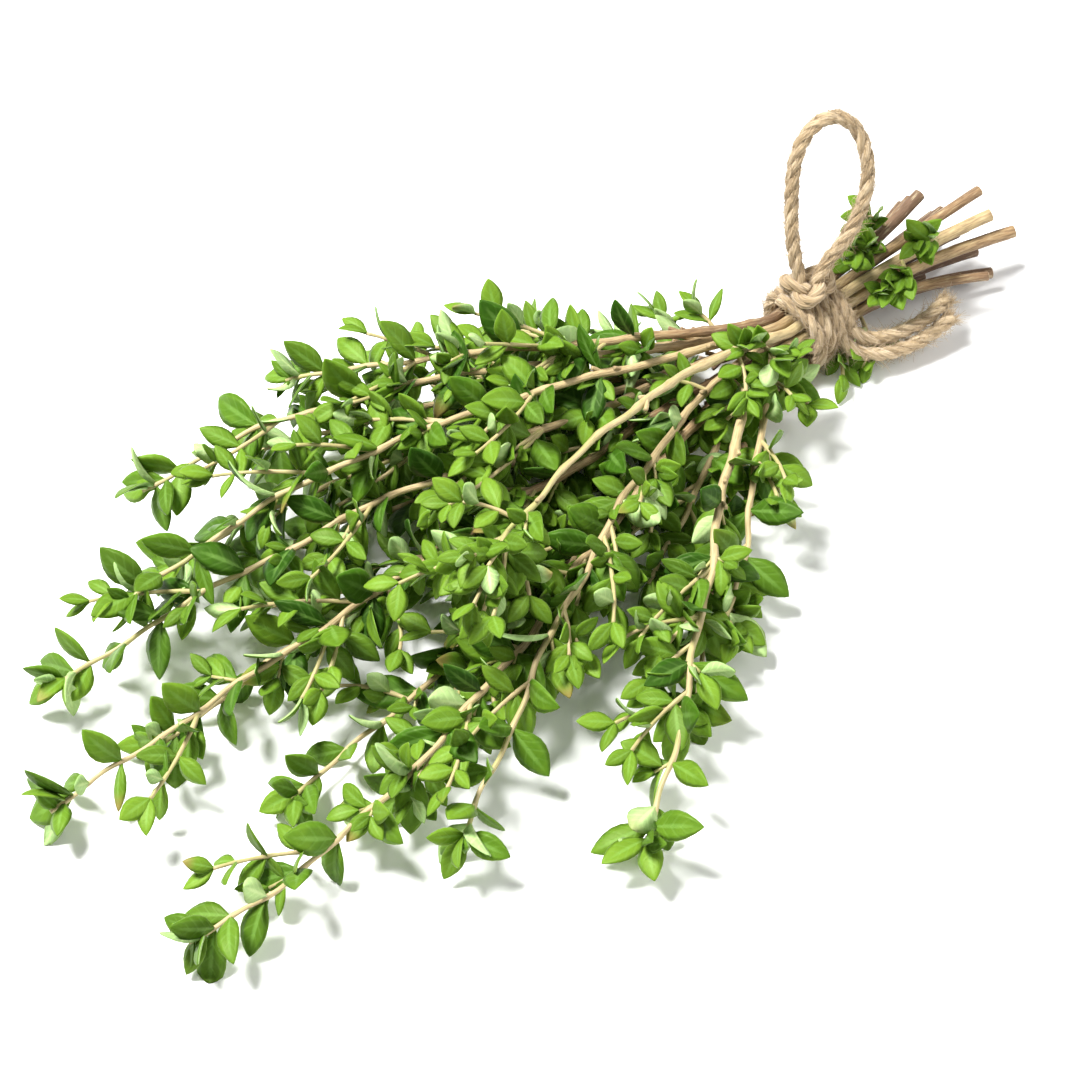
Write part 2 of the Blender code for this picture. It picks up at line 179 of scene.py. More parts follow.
# Rings round each path: centre + radius * (cos a * sideways + sin a * upward), where sideways is
# square to the path and to reference. paths is (tubes, rings, 3), radii (tubes, rings, sides).
def ringsRound(paths, radii, sides, reference):
    along = unit(np.gradient(paths, axis=1))
    sideways, upward = squareTo(along, reference)
    angle = np.linspace(0, 2 * np.pi, sides, endpoint=False)[:, None]
    spoke = np.cos(angle) * sideways[:, :, None] + np.sin(angle) * upward[:, :, None]
    return paths[:, :, None] + radii[..., None] * spoke


# Closed surfaces from rings (tubes, rings, sides, 3): quads between neighbouring rings, and a fan
# of triangles over each end. Further values have the rings' shape, and go on the points.
def closedTubes(rings, ends=None, **values):
    tubes, count, sides = rings.shape[:3]
    around = np.arange(sides)
    beside = (around + 1) % sides
    row = sides * np.arange(count - 1)[:, None]
    quads = np.stack([row + around, row + beside, row + sides + beside, row + sides + around], -1)
    first, last = np.full(sides, count * sides), sides * (count - 1)
    startFan = np.stack([first, beside, around], -1)
    endFan = np.stack([first + 1, last + around, last + beside], -1)
    shift = (count * sides + 2) * np.arange(tubes)[:, None, None]

    def onPoints(grid, poles=None):
        if poles is None:
            poles = np.stack([grid[:, 0].mean(1), grid[:, -1].mean(1)], 1)
        return np.concatenate([grid.reshape(tubes, -1, 3), poles], 1).reshape(-1, 3)

    part = {name: onPoints(np.broadcast_to(grid, rings.shape)) for name, grid in values.items()}
    part["points"] = onPoints(rings, ends)
    part["quads"] = (quads.reshape(-1, 4) + shift).reshape(-1, 4)
    part["triangles"] = (np.concatenate([startFan, endFan]) + shift).reshape(-1, 3)
    return part


# Three values for every point of rings of this shape.
def spread(shape, *values):
    return np.stack([np.broadcast_to(value, shape) for value in values], -1)


def joined(parts):
    starts = np.cumsum([0] + [len(part["points"]) for part in parts[:-1]])
    whole = {name: np.concatenate([part[name] for part in parts]) for name in parts[0]}
    for faces in ("quads", "triangles"):
        whole[faces] = np.concatenate([part[faces] + start for part, start in zip(parts, starts)])
    return whole


def newPiece(name, part, material, nodes=()):
    mesh = bpy.data.meshes.new(name)
    mesh.from_pydata(part["points"].tolist(), [], part["quads"].tolist() + part["triangles"].tolist())
    for key in sorted(part.keys() - {"points", "quads", "triangles"}):
        values = mesh.attributes.new(key, "FLOAT_VECTOR", "POINT")
        values.data.foreach_set("vector", part[key].astype(np.float32).ravel())
    mesh.shade_smooth()
    mesh.materials.append(material)
    piece = bpy.data.objects.new(name, mesh)
    scene.collection.objects.link(piece)
    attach(piece, "root")
    if nodes:
        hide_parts(*nodes)
    return piece


# A shader node with its settings. Of its inputs, a socket is linked and anything else is set.
def addNode(tree, kind, settings=None, inputs=None):
    node = tree.nodes.new("ShaderNode" + kind)
    for name, value in (settings or {}).items():
        setattr(node, name, value)
    for name, value in (inputs or {}).items():
        if isinstance(value, bpy.types.NodeSocket):
            tree.links.new(value, node.inputs[name])
        else:
            node.inputs[name].default_value = value
    return node


def maths(tree, operation, a, b=0.0, c=0.0, clamp=False):
    node = addNode(tree, "Math", {"operation": operation, "use_clamp": clamp}, {0: a, 1: b, 2: c})
    return node.outputs[0]


# value * by + plus
def times(tree, value, by, plus=0.0, clamp=False):
    return maths(tree, "MULTIPLY_ADD", value, by, plus, clamp)


def mixed(tree, factor, a, b, blend="MIX"):
    settings = {"data_type": "RGBA", "blend_type": blend}
    return addNode(tree, "Mix", settings, {0: factor, 6: a, 7: b}).outputs[2]


# colour with this share of tint where the mask is 1
def tinted(tree, colour, mask, share, tint):
    return mixed(tree, times(tree, mask, share), colour, tint)


# A mask that goes from 0 to 1 smoothly while value goes from low to high.
def stepped(tree, value, low, high, toLow=0.0, toHigh=1.0):
    settings = {"interpolation_type": "SMOOTHSTEP"}
    inputs = {"Value": value, "From Min": low, "From Max": high, "To Min": toLow, "To Max": toHigh}
    return addNode(tree, "MapRange", settings, inputs).outputs[0]


def ramp(tree, factor, stops):
    node = addNode(tree, "ValToRGB", None, {"Fac": factor})
    elements = node.color_ramp.elements
    while len(elements) < len(stops):
        elements.new(0.5)
    for element, (position, colour) in zip(elements, stops):
        element.position = position
        element.color = (*colour, 1)
    return node.outputs["Color"]


def attribute(tree, name):
    node = addNode(tree, "Attribute", {"attribute_name": name})
    parts = addNode(tree, "SeparateXYZ", None, {0: node.outputs["Vector"]})
    return node.outputs["Vector"], *parts.outputs


def newGroup(name, inputs, outputs):
    group = bpy.data.node_groups.new(name, "ShaderNodeTree")
    for way, sockets in (("INPUT", inputs), ("OUTPUT", outputs)):
        for label, kind in sockets.items():
            group.interface.new_socket(label, in_out=way, socket_type="NodeSocket" + kind)
    return group, group.nodes.new("NodeGroupInput").outputs, group.nodes.new("NodeGroupOutput").inputs


# Noise, with its contrast raised about the middle.
def strongNoise(tree, place, scale, detail, contrast):
    inputs = {"Vector": place, "Scale": scale, "Detail": detail}
    noise = addNode(tree, "TexNoise", None, inputs).outputs[0]
    return times(tree, maths(tree, "SUBTRACT", noise, 0.5), contrast, 0.5, clamp=True)


# Long streaks that follow a fibre: noise, stretched along it. Grain is (cos a, sin a, millimetres).
def makeStreaks():
    inputs = {"Grain": "Vector", "Across": "Float", "Along": "Float", "Contrast": "Float"}
    group, given, result = newGroup("fibreStreaks", inputs, {"Streaks": "Float"})
    scale = addNode(group, "CombineXYZ", None, {0: given["Across"], 1: given["Across"], 2: given["Along"]})
    inputs = {0: given["Grain"], 1: scale.outputs[0]}
    place = addNode(group, "VectorMath", {"operation": "MULTIPLY"}, inputs).outputs[0]
    group.links.new(strongNoise(group, place, 1.0, 3.0, given["Contrast"]), result["Streaks"])
    return group


# Soft blotches, bigger than the streaks, from the place on the object.
def makeMottling():
    inputs = {"Scale": "Float", "Contrast": "Float"}
    group, given, result = newGroup("mottling", inputs, {"Mask": "Float"})
    place = addNode(group, "TexCoord").outputs["Object"]
    group.links.new(strongNoise(group, place, given["Scale"], 2.0, given["Contrast"]), result["Mask"])
    return group


streaksGroup = makeStreaks()
mottlingGroup = makeMottling()


def streaks(tree, grain, across, along, contrast):
    inputs = {"Grain": grain, "Across": across, "Along": along, "Contrast": contrast}
    return addNode(tree, "Group", {"node_tree": streaksGroup}, inputs).outputs[0]


def mottling(tree, scale, contrast):
    inputs = {"Scale": scale, "Contrast": contrast}
    return addNode(tree, "Group", {"node_tree": mottlingGroup}, inputs).outputs[0]


def newMaterial(name, roughness, **constants):
    material = bpy.data.materials.new(name)
    material.use_nodes = True
    shader = material.node_tree.nodes["Principled BSDF"]
    shader.inputs["Roughness"].default_value = roughness
    for label, value in constants.items():
        shader.inputs[label.replace("_", " ")].default_value = value
    return material, material.node_tree, shader.inputs


def bump(tree, height, strength, distance):
    inputs = {"Height": height, "Strength": strength, "Distance": distance}
    return addNode(tree, "Bump", None, inputs).outputs[0]


twine = {
    "radius": 1.17 * mm,
    "plies": 3,
    "lay": 8.2 * mm,          # length in which the plies go once round each other
    "plyShare": 0.56,         # a ply's own radius, as a share of the twine's
    "grooves": 7,             # yarns that show round a ply
    "grooveDepth": 0.10,
    "grooveLay": 4.3 * mm,
    "lumps": 0.06,            # uneven thickness
    "lumpLengths": (3.1 * mm, 5.3 * mm),
    "sides": 24,
    "step": 0.36 * mm,
    "openLength": 3.0 * mm,   # a cut end opens over this length
    "opens": (0.12, 0.22),    # its plies get thinner, and go further out
    "colours": [(0.0, (0.12, 0.070, 0.030)), (0.45, (0.38, 0.27, 0.145)), (1.0, (0.72, 0.58, 0.39))],
}


def makeTwineMaterial():
    material, tree, shader = newMaterial("juteTwine", 0.88, Sheen_Weight=0.25, Sheen_Roughness=0.5)
    grain, *_ = attribute(tree, "grain")
    _, _, depth, shade = attribute(tree, "strand")
    fine = streaks(tree, grain, 5.0, 0.55, 2.2)
    broad = streaks(tree, grain, 1.3, 0.16, 2.6)
    blotch = mottling(tree, 160.0, 1.6)
    level = times(tree, fine, 0.45, times(tree, broad, 0.35))
    level = times(tree, blotch, 0.20, level)
    level = times(tree, shade, 0.16, level)
    colour = ramp(tree, level, twine["colours"])
    # painted shade: the colour darkens towards 0.55 where the ply surface lies deep, in the grooves
    # between the plies
    grooveShade = stepped(tree, depth, 0.0, 1.0, 0.55, 1.0)
    dark = addNode(tree, "CombineColor", None, {0: grooveShade, 1: grooveShade, 2: grooveShade}).outputs[0]
    tree.links.new(mixed(tree, 1.0, colour, dark, "MULTIPLY"), shader["Base Color"])
    tree.links.new(bump(tree, fine, 0.8, 0.18 * mm), shader["Normal"])
    return material


# Three plies twisted round the path. A ply's centre goes round at (radius - its own radius), and
# its surface is its radius * (1 + grooves * sin(yarns * angle - twist) + lumps along it).
def makePlies(path, reference, openEnd=False):
    run = lengthAlong(path)
    along = unit(np.gradient(path, axis=0))
    sideways, upward = squareTo(along, reference)
    number = np.arange(twine["plies"])[:, None]
    turn = 2 * np.pi * (run / twine["lay"] + number / twine["plies"])
    opened = openEnd * np.clip(1 - (run[-1] - run) / twine["openLength"], 0, 1)
    own = twine["radius"] * twine["plyShare"] * (1 - twine["opens"][0] * opened)
    orbit = (twine["radius"] - own) * (1 + twine["opens"][1] * opened)
    swing = np.cos(turn)[..., None] * sideways + np.sin(turn)[..., None] * upward
    centres = path + orbit[:, None] * swing
    angle = np.linspace(0, 2 * np.pi, twine["sides"], endpoint=False)
    phase = number * 2.1 + dice.uniform(0, 6, (twine["plies"], 1))
    twist = 2 * np.pi * run / twine["grooveLay"] + phase
    grooves = np.sin(twine["grooves"] * angle - twist[..., None])
    first, second = (2 * np.pi * run / length for length in twine["lumpLengths"])
    lumps = np.sin(first + 2 * phase) * np.sin(second + phase)
    radii = own[:, None] * (1 + twine["grooveDepth"] * grooves + twine["lumps"] * lumps[..., None])
    rings = ringsRound(centres, radii, twine["sides"], reference)
    shape = radii.shape
    grain = spread(shape, np.cos(angle), np.sin(angle), (run / mm)[:, None] + 40 * number[..., None])
    # depth goes from 0 deep between the plies to 1 on their outer faces; the twine's material paints shade
    # into the low parts
    outer = np.linalg.norm(rings - path[None, :, None], axis=-1) / twine["radius"]
    depth = np.clip((outer - 0.35) / 0.5, 0, 1)
    shade = dice.uniform(-1, 1, (twine["plies"], 1, 1))
    strand = spread(shape, 0, depth, shade)
    return closedTubes(rings, grain=grain, strand=strand)


fuzz = {
    "perMillimetre": 46,
    "length": (0.7 * mm, 2.3 * mm),
    "radius": 0.045 * mm,
    "outward": (0.05, 0.75),  # against 1 for along the twine
    "curl": 0.35,
    "stray": 0.15,
    "foot": (0.35, 0.95),     # share of the twine's radius where a fibre comes out
    "lowest": 0.06 * mm,
    "onKnot": 90,
    "atEnds": 320,            # fibres that stand out of a cut end
    "endReach": 1.6 * mm,     # the stretch that they grow from
    "endLength": (0.6 * mm, 1.7 * mm),
}


# Fine fibres that stand out of the twine: foot + length * (heading * t + curl * t squared).
def makeFuzz(path, reference, number=None, place=None, lengths=None, forward=None):
    run = lengthAlong(path)[-1]
    number = number or round(fuzz["perMillimetre"] * run / mm)
    place = dice.uniform(0, run, number) if place is None else place
    spots, along = walk(path, place)
    if np.ndim(reference) == 2:
        reference = reference[np.clip((place / run * len(reference)).astype(int), 0, len(reference) - 1)]
    sideways, upward = squareTo(along, reference)
    around = dice.uniform(0, 2 * np.pi, number)[:, None]
    spoke = np.cos(around) * sideways + np.sin(around) * upward
    sense = np.sign(dice.uniform(-1, 1, (number, 1))) if forward is None else forward
    lean = dice.uniform(*fuzz["outward"], (number, 1))
    heading = unit(along * sense + spoke * lean + dice.normal(0, fuzz["stray"], (number, 3)))
    size = dice.uniform(*(lengths or fuzz["length"]), (number, 1))
    foot = spots + spoke * twine["radius"] * dice.uniform(*fuzz["foot"], (number, 1))
    t = np.linspace(0, 1, 5)[None, :, None]
    curl = dice.normal(0, fuzz["curl"], (number, 1, 3))
    fibres = foot[:, None] + size[:, None] * (heading[:, None] * t + curl * t**2)
    keepAbove(fibres, fuzz["lowest"])
    radii = np.broadcast_to((fuzz["radius"] * (1 - 0.6 * t))[..., 0], (number, 5))[..., None]
    rings = ringsRound(fibres, np.repeat(radii, 3, -1), 3, unit(np.array([0.3, 0.5, 0.81])))
    shape = rings.shape[:3]
    shade = dice.uniform(-1, 1, (number, 1, 1))
    grain, strand = spread(shape, shade, -shade, 20 * shade), spread(shape, 0, 1, shade)
    return closedTubes(rings, grain=grain, strand=strand)


tieShape = {
    "wrapRadius": 6.25 * mm,  # of the wraps' centre line round the stems
    "wrapPitch": 2.3 * mm,
    "wrapTurns": 2,
    "wrapStart": math.radians(-25),
    "wrapX": -3.45 * mm,
    "tailTurns": 0.27,        # a tail follows the wraps this far before it leaves them
    "knotHalfLength": 3.9 * mm,
    "knotHalfWidth": 3.3 * mm,
    "knotLift": 2.45 * mm,    # of the knot over the wraps' centre line
    "knotDepth": 0.8 * mm,
    "loopFoot": 1.25 * mm,
    "loopNeck": 2.0 * mm,
    "gap": 0.3 * mm,
}
loopSideways = np.array([0.731, -0.682, 0.0])
loopUpwards = np.array([0.341, 0.366, 0.866])

# The loop's route, (sideways, upwards) from its neck, and the tails' routes from the floor under
# the tie, all in millimetres
loopRoute = [
    (-2.2, 3.6), (-2.9, 8.3), (-3.1, 15.0), (-2.6, 20.0), (-1.0, 24.0), (1.7, 26.4), (4.5, 26.6),
    (7.0, 24.6), (8.6, 20.5), (8.9, 16.8), (8.3, 12.9), (7.1, 9.7), (5.2, 6.3), (3.2, 3.6),
]
tailRoutes = {
    "twine_tail_a": [
        (1.8, -6.9, 7.3), (3.2, -9.2, 5.3), (7.0, -11.7, 4.2), (10.7, -13.0, 4.0), (14.4, -13.9, 4.3),
        (17.7, -14.3, 5.0), (19.9, -14.4, 5.7),
    ],
    "twine_tail_b": [
        (4.1, -6.9, 7.8), (5.4, -8.4, 6.5), (8.1, -9.9, 5.8), (11.3, -11.0, 5.6), (14.6, -11.7, 5.7),
        (17.6, -12.1, 6.2), (21.0, -12.2, 7.5),
    ],
}


# The wraps' centre line after this many turns: a helix about X. The tails start along it.
def wrapPoints(turns):
    angle = tieShape["wrapStart"] + 2 * np.pi * turns
    x = tieShape["wrapX"] + tieShape["wrapPitch"] * turns
    radius = tieShape["wrapRadius"]
    return tie + np.stack([x, -radius * np.sin(angle), radius * np.cos(angle)], -1)


def loopPath():
    base = tie + zUp * (tieShape["wrapRadius"] + twine["radius"] + tieShape["gap"] / 2)
    neck = base + zUp * tieShape["loopNeck"]
    foot = loopSideways * tieShape["loopFoot"]
    arch = [neck + (loopSideways * a + loopUpwards * b) * mm for a, b in loopRoute]
    return throughPoints([base - foot, neck - foot, *arch, neck + foot, base + foot], twine["step"])


def tailPath(name, turn):
    onStems = wrapPoints(turn + tieShape["tailTurns"] * np.linspace(0, 1, 5))
    return throughPoints([*onStems, *(ground + np.array(tailRoutes[name]) * mm)], twine["step"])


# The knot is a trefoil pressed flat: round at (sin t + 2 sin 2t, cos t - 2 cos 2t) / 3, up and
# down by -sin 3t, and bent down over the wraps.
def knotPath():
    t = np.linspace(0, 2 * np.pi, 200)[:, None]
    across = np.cross(zUp, loopSideways)
    spot = loopSideways * tieShape["knotHalfLength"] * (np.sin(t) + 2 * np.sin(2 * t)) / 3
    spot = spot + across * tieShape["knotHalfWidth"] * (np.cos(t) - 2 * np.cos(2 * t)) / 3
    height = np.sqrt((tieShape["wrapRadius"] + tieShape["knotLift"]) ** 2 - spot[:, 1] ** 2)
    return tie + spot + (height[:, None] - tieShape["knotDepth"] * np.sin(3 * t)) * zUp


def makeTwine():
    jute = makeTwineMaterial()
    xAxis = np.array([1.0, 0.0, 0.0])

    loop = loopPath()
    loopNormal = np.cross(loopSideways, loopUpwards)
    piece = newPiece("twine_loop_plies", makePlies(loop, loopNormal), jute, ["twine_loop"])
    hairs = newPiece("twine_loop_fibres", makeFuzz(loop, loopNormal), jute)

    start = tieShape["wrapTurns"] + 3 * tieShape["gap"] / (2 * np.pi * tieShape["wrapRadius"])
    for name, turn in (("twine_tail_a", start), ("twine_tail_b", start + 1)):
        tail = tailPath(name, turn)
        swing = np.linspace(0, np.pi / 2, len(tail))[:, None]
        reference = np.cos(swing) * xAxis + np.sin(swing) * zUp
        piece = newPiece(f"{name}_plies", makePlies(tail, reference, True), jute, [name])
        length = lengthAlong(tail)[-1]
        along = makeFuzz(tail, reference)
        atEnd = length - dice.uniform(0, fuzz["endReach"], fuzz["atEnds"])
        brush = makeFuzz(tail, reference, fuzz["atEnds"], atEnd, fuzz["endLength"], 1.0)
        hairs = newPiece(f"{name}_fibres", joined([along, brush]), jute)

    wraps = evenPath(wrapPoints(np.linspace(0, tieShape["wrapTurns"], 200)), twine["step"])
    newPiece("twine_wraps_plies", makePlies(wraps, xAxis), jute, ["twine_wraps"])
    knot = evenPath(knotPath(), twine["step"])
    newPiece("twine_knot_plies", makePlies(knot, zUp), jute, ["twine_knot"])
    tieHairs = [makeFuzz(wraps, xAxis), makeFuzz(knot, zUp, fuzz["onKnot"])]
    newPiece("twine_tie_fibres", joined(tieHairs), jute)


makeTwine()
print("twine: loop, two tails, wraps and knot")

# level and place say where a stem lies under the tie; cut, reach, rise, lift and tip are in
# millimetres and the headings in degrees from -X towards +Y. bare is the leafless share. wood goes
# from 0, a pale young stem, to 1, a brown one, and girth is the stem's size against the usual one.
# shoots are (share of the path, side, millimetres). clumps are short shoots at chosen places:
# (millimetres from the tie, below 0 towards the cut end; side in degrees; length in millimetres).
sprigFields = (
    "level", "place", "cut", "heading", "tipHeading", "reach", "rise", "lift", "tip", "bare",
    "wood", "girth", "shoots", "clumps",
)
sprigRows = [
    (2, 1, 30, 27, 36, 86, 7, 5, 19, 0.32, 0.8, 1.1,
     [(0.45, 1, 16), (0.75, -1, 15)], [(-15, 80, 5), (-22, 110, 6)]),
    (2, 0, 38, 12, 2, 122, 12, 13, 12, 0.30, 0.5, 0.9,
     [(0.40, -1, 18), (0.70, 1, 17)], [(-18, 90, 5), (-25, 40, 6)]),
    (2, -1, 35, -8, -10, 84, 10, 9, 22, 0.84, 0.25, 1.1, [(0.90, -1, 15), (0.95, 1, 14)],
     [(-19, 20, 5), (-26, 60, 5), (14, 10, 7), (20, -25, 8),
      (76, 150, 9), (79, -30, 10), (83, 80, 7), (86, 190, 8)]),
    (1, 1.5, 31, 21, 13, 112, 7, 12, 14, 0.22, 0.6, 0.95,
     [(0.50, 1, 17), (0.78, -1, 16)], [(-20, 95, 6), (-14, 60, 6)]),
    (1, 0.5, 41, 10, 7, 137, 8, 10, 7, 0.28, 0.6, 0.95,
     [(0.35, -1, 24), (0.58, -1, 18), (0.80, 1, 17)], []),
    (1, -0.5, 33, -19, -26, 116, 8, 12, 6, 0.26, 0.5, 0.85,
     [(0.50, -1, 18), (0.75, 1, 15)], [(17, 75, 6), (22, 10, 8), (27, 165, 6)]),
    (1, -1.5, 38, -31.5, -28, 106, 5, 10, 5, 0.40, 0.4, 1.1,
     [(0.52, 1, 18), (0.74, 1, 14)],
     [(-16, 35, 4), (13, 100, 7), (17, 10, 8), (68, 175, 13), (84, 175, 11)]),
    (0, 2, 32, 31, 26, 57, 3, 4, 5, 0.25, 0.7, 0.8,
     [(0.55, 1, 14)], [(-18, 60, 5), (14, 150, 6), (20, 170, 7)]),
    (0, 1, 36, 16, 10, 112, 5, 9, 6, 0.20, 0.7, 1.0, [(0.40, 1, 18), (0.60, -1, 17)], []),
    (0, 0, 34, 3, 6, 148, 5, 8, 5, 0.20, 0.8, 1.0,
     [(0.37, -1, 26), (0.61, 1, 18), (0.82, -1, 17)], []),
    (0, -1, 40, -9, 12, 149, 5, 7, 5, 0.22, 0.7, 1.05,
     [(0.35, 1, 26), (0.62, -1, 17), (0.84, 1, 16)],
     [(68, 175, 15), (84, 172, 14), (76, 5, 10)]),
    (0, -2, 30, -33, -28, 66, 3, 6, 6, 0.12, 0.5, 0.8,
     [(0.45, -1, 9), (0.72, 1, 13)], [(-14, 60, 4), (11, 60, 6), (13, -10, 8)]),
    (-1, 1.5, 37, 27, 22, 92, 0, 4, 4, 0.16, 0.9, 1.0, [(0.35, -1, 18), (0.60, 1, 16)], []),
    (-1, 0.5, 30, 3, -2, 130, 0, 3, 4, 0.18, 0.8, 0.9, [(0.40, -1, 24), (0.65, 1, 17)],
     [(70, 4, 16), (86, 6, 14)]),
    (-1, -0.5, 36, -13, -20, 112, 1, 4, 4, 0.18, 0.8, 1.0,
     [(0.40, -1, 20), (0.62, -1, 16)], [(14, 30, 6)]),
    (-1, -1.5, 34, -20, -22, 58, 0, 4, 3.5, 0.30, 0.7, 1.0, [(0.66, 1, 15)], [(-8, -20, 6)]),
    (-2, 1, 35, 15, 14, 100, -2, 0, 3, 0.20, 0.9, 0.95, [(0.40, -1, 20), (0.66, 1, 16)], []),
    (-2, 0, 27, -6, -2, 122, -2, 0, 3, 0.20, 0.8, 1.0, [(0.40, 1, 24), (0.64, -1, 17)],
     [(58, 8, 15), (74, 172, 14), (84, 8, 14), (97, 172, 11)]),
    (-2, -1, 33, -31, -28, 80, -2, 0, 3, 0.32, 0.7, 0.85,
     [(0.60, -1, 13)], [(-4, -12, 9), (-11, -12, 9)]),
]
sprigs = [dict(zip(sprigFields, row)) for row in sprigRows]

stems = {
    "seed": 200,
    "pitch": 2.0 * mm,
    "levelHeight": math.sqrt(3) * mm,
    "straightHalf": 6 * mm,
    "cutSpread": 2.7,
    "cutRise": 2.1,
    "cutSway": -0.10,
    "lowest": 1.3 * mm,
    "stiffShare": 0.32,       # of the reach, before a stem turns to its own heading
    "stiffLoss": 0.0045,      # and less of it for each degree of heading
    "endShare": 0.36,
    "cutStiffShare": 0.45,
    "tieRadius": 0.88 * mm,
    "cutRadius": 0.98 * mm,
    "tipRadius": 0.33 * mm,
    "girthOver": 15 * mm,     # past the tie, a stem grows to its own girth over this length
    "sides": 12,
    "step": 0.8 * mm,
    "waver": 0.38 * mm,       # how far a stem wanders off its curve
    "waverFrom": 12 * mm,     # past the tie, where this starts
    "waverOver": 30 * mm,     # and the length in which it grows to the full
    "waves": (27 * mm, 11 * mm, 33 * mm),   # long and short sideways, and up and down
    "cutEdge": (0.12, 0.93),  # a cut face: how far out, of a step, and how wide
    "squareness": 0.05,       # young stems are a little four-sided
    "nodeSwell": 0.22,
    "nodeLength": 0.9 * mm,
    "bareNodes": (0.06, 0.11),   # the first node of the bare part and the step between them
    "bumps": 0.05,            # of woody bark
    "bumpLengths": (2.3 * mm, 1.7 * mm),
    "tableGap": 0.03 * mm,
    "shootRadius": 0.36 * mm,
    "shootAngle": math.radians(38),
    "shootRise": 12,          # degrees over level
    "shootFoot": 3.0 * mm,    # the leafless foot of a shoot
    "shootKnee": 0.55,        # share of a shoot before it bends along with its stem
    "shootBend": 0.8,
    "shootWood": 0.12,
    "clumpAngle": math.radians(75),
    "moreShoots": 4,          # short ones, placed by chance
    "moreUntil": 0.72,        # of the leafy path
    "moreRoll": 0.45,         # how far they stand off level, in radians
    "moreLength": (8 * mm, 14 * mm),
    "snags": 3,               # broken twigs on the bare part
    "snagLength": (1.6 * mm, 3.0 * mm),
    "snagPlaces": (0.4, 1.0),   # share of the bare part
    "twigRadii": (0.34 * mm, 0.24 * mm),    # of a tuft's twig, foot and end
}
leaves = {
    "length": 9.4 * mm,
    "widthShare": (0.42, 0.58),
    "thickness": 0.26 * mm,
    "petioleWidth": 0.13,     # as a share of the leaf's width
    "lift": (0.05, 0.5),      # radians, as bend and twist are
    "bend": (0.1, 0.9),
    "twist": 0.2,
    "fold": (0.05, 0.42),     # how high a margin stands, for its distance from the midrib
    "roll": (0.10, 0.32),     # and how far it rolls back under
    "faceVaries": 0.33,
    "petiole": 0.10,          # share of the length
    "nodeSpacing": 8.2 * mm,
    "crowding": 1.25,         # above 1, the pairs draw together towards the tip
    "lastPair": 0.985,        # share of the path where it stands
    "youngNodes": 3.2,        # nodes below the tip that have smaller leaves
    "angle": math.radians(60),
    "tipAngle": math.radians(30),
    "tipWithin": 0.12,        # of the young nodes' stretch
    "starAt": (4.2 * mm, 2.4 * mm, 1.0 * mm),   # pairs close together before each tip
    "starSizes": (0.95, 0.78, 0.5),
    "starAngle": math.radians(68),
    "ages": (1.0, 0.6),       # 1 is dark and full-grown, 0 pale: on a stem, on a shoot
    "tipSizes": (0.75, 0.7),  # of the last leaves, on a stem and on a shoot
    "facing": 0.8,            # how far a leaf looks along its stem, against 1 for upwards
    "turnedOver": 0.06,       # share of the leaves that show their pale side
    "turnedAbove": 5 * mm,    # and none lower than this
    "rollVaries": 0.28,
    "angleVaries": 0.17,
    "sizeVaries": (0.85, 1.12),
    "tuftShare": 0.95,        # of the nodes that carry tufts of small leaves
    "tuftFade": 2.2,          # above 1, the tufts thin out only near the tip
    "tuftLength": (1.5 * mm, 5.5 * mm),
    "tuftLean": 0.9,          # away from the stem, against 1 for along it
    "tuftVaries": 0.15,
    "tuftPairs": ((0.5, 1.05, 0.72), (1.0, 0.62, 0.58)),   # share of its twig, angle, size
    "tuftSizes": (0.70, 1.15),
    "tuftAge": 0.35,
    "shootSpacing": 5.0 * mm,
    "shootSize": 0.82,
    "floorGap": 0.25 * mm,
    "pressed": 0.12,
    "twigLowest": 0.45 * mm,
}


def compass(degrees):
    angle = math.radians(degrees)
    return np.array([-math.cos(angle), math.sin(angle), 0.0])


# The sprig's leafy path, from the tie to its tip, and its path from the tie to the cut end.
def sprigPaths(sprig):
    side = sprig["place"] * stems["pitch"]
    up = sprig["level"] * stems["levelHeight"]
    reach = sprig["reach"] * mm
    start = tie + [-stems["straightHalf"], side, up]
    tip = ground + compass(sprig["heading"]) * reach + zUp * sprig["tip"] * mm
    stiff = (stems["stiffShare"] - stems["stiffLoss"] * abs(sprig["heading"])) * reach
    rise = start + [-stiff, 0, sprig["rise"] * mm]
    lift = tip - compass(sprig["tipHeading"]) * stems["endShare"] * reach + zUp * sprig["lift"] * mm
    root = tie + [stems["straightHalf"], side, up]
    past = sprig["cut"] * mm - stems["straightHalf"]
    height = max(tie[2] + up * stems["cutRise"], stems["lowest"])
    swayed = tie[1] + side * stems["cutSpread"] + stems["cutSway"] * past
    cut = np.array([tie[0] + sprig["cut"] * mm, swayed, height])
    leafy = evenPath(bezier([start, rise, lift, tip], 80), stems["step"])
    knee = root + [stems["cutStiffShare"] * past, 0, 0]
    butt = evenPath(bezier([root, knee, cut], 30), stems["step"])
    return leafy, butt


# A stem wanders sideways by the sum of a long and a short sine wave, and up and down by one more
# wave. They fade in past the tie.
def wavered(path, phases):
    run = lengthAlong(path)
    along = unit(np.gradient(path, axis=0))
    level, upward = squareTo(along, zUp)
    grows = np.clip((run - stems["waverFrom"]) / stems["waverOver"], 0, 1) * stems["waver"]
    long, short, upWave = (
        np.sin(2 * np.pi * run / wave + phase) for wave, phase in zip(stems["waves"], phases))
    sideWave = long + 0.5 * short
    moved = path + (grows * sideWave)[:, None] * level + (0.6 * grows * upWave)[:, None] * upward
    keepAbove(moved, stems["lowest"])
    return moved


